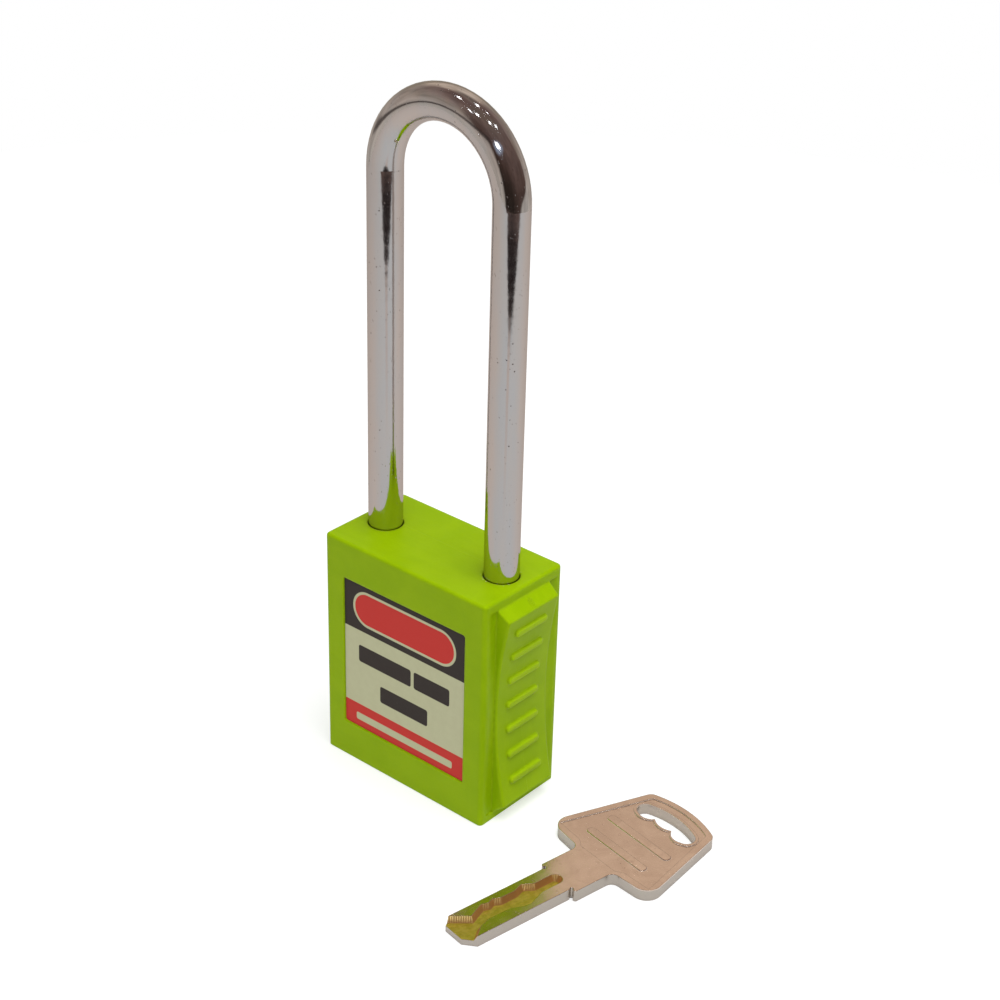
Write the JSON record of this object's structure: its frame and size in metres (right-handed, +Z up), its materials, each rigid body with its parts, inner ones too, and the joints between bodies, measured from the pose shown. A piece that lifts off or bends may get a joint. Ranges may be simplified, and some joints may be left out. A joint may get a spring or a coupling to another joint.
{
  "type": "safety padlock",
  "caption": "Non-conductive lockout padlock: nylon body with grip pads and label recesses, long chromed shackle, pin-tumbler cylinder in the base, and its flat dimple key lying beside it.",
  "frame": {"origin": "centre of the padlock's base, at the mouth of the keyway", "axes": "+Z up along the shackle legs; the front label faces -Y; the toe leg stands at +X"},
  "size_m": [0.0746, 0.0519, 0.128],
  "materials": {
    "lime_nylon": "satin moulded nylon",
    "black_nylon": "moulded nylon",
    "label_vinyl": "printed vinyl",
    "cast_zinc": "die-cast zinc",
    "brass": "machined",
    "nickel_silver": "turned",
    "plain_steel": "hardened",
    "spring_steel": "drawn wire",
    "chromed_steel": "polished chrome plate",
    "nickel_plated_brass": "nickel plated, milled track bare brass"
  },
  "bodies": {
    "padlock_body": {"body_shell": "lime_nylon", "base_cover": "black_nylon", "front_label": "label_vinyl", "rear_label": "label_vinyl", "lock_block": "cast_zinc", "cylinder_carrier": "black_nylon", "cylinder_housing": "brass", "cylinder_retaining_screw": "plain_steel", "pin_chamber_cover": "brass", "shackle_retaining_pin": "plain_steel", "shackle_spring": "spring_steel", "driver_pin_1": "nickel_silver", "driver_pin_2": "nickel_silver", "driver_pin_3": "nickel_silver", "driver_pin_4": "nickel_silver", "driver_pin_5": "nickel_silver", "pin_spring_1": "spring_steel", "pin_spring_2": "spring_steel", "pin_spring_3": "spring_steel", "pin_spring_4": "spring_steel", "pin_spring_5": "spring_steel"},
    "plug": {"cylinder_plug": "brass", "plug_retaining_clip": "spring_steel", "locking_cam": "plain_steel", "key_pin_1": "nickel_silver", "key_pin_2": "nickel_silver", "key_pin_3": "nickel_silver", "key_pin_4": "nickel_silver", "key_pin_5": "nickel_silver"},
    "toe_ball": {"toe_ball": "plain_steel"},
    "heel_ball": {"heel_ball": "plain_steel"},
    "shackle": {"shackle": "chromed_steel"},
    "key": {"key": "nickel_plated_brass"}
  },
  "joints": [
    {"name": "plug_turn", "type": "hinge", "parent": "padlock_body", "child": "plug", "pos_m": [0, 0, 0], "axis": [0, 0, 1], "range_deg": [-90, 0]},
    {"name": "toe_ball_slide", "type": "slide", "parent": "padlock_body", "child": "toe_ball", "axis": [1, 0, 0], "range_m": [0, 0.0012]},
    {"name": "heel_ball_slide", "type": "slide", "parent": "padlock_body", "child": "heel_ball", "axis": [-1, 0, 0], "range_m": [0, 0.0012]},
    {"name": "shackle_lift", "type": "slide", "parent": "padlock_body", "child": "shackle", "axis": [0, 0, 1], "range_m": [0, 0.0139], "deforming": ["shackle_spring"]},
    {"name": "key_pick_up", "type": "slide", "parent": "padlock_body", "child": "key", "axis": [0, 0, 1], "range_m": [0, 0.06]}
  ],
  "couplings": [
    {"joint": "toe_ball_slide", "follows": "plug_turn", "m_per_rad": -0.000763},
    {"joint": "heel_ball_slide", "follows": "plug_turn", "m_per_rad": -0.000763}
  ]
}
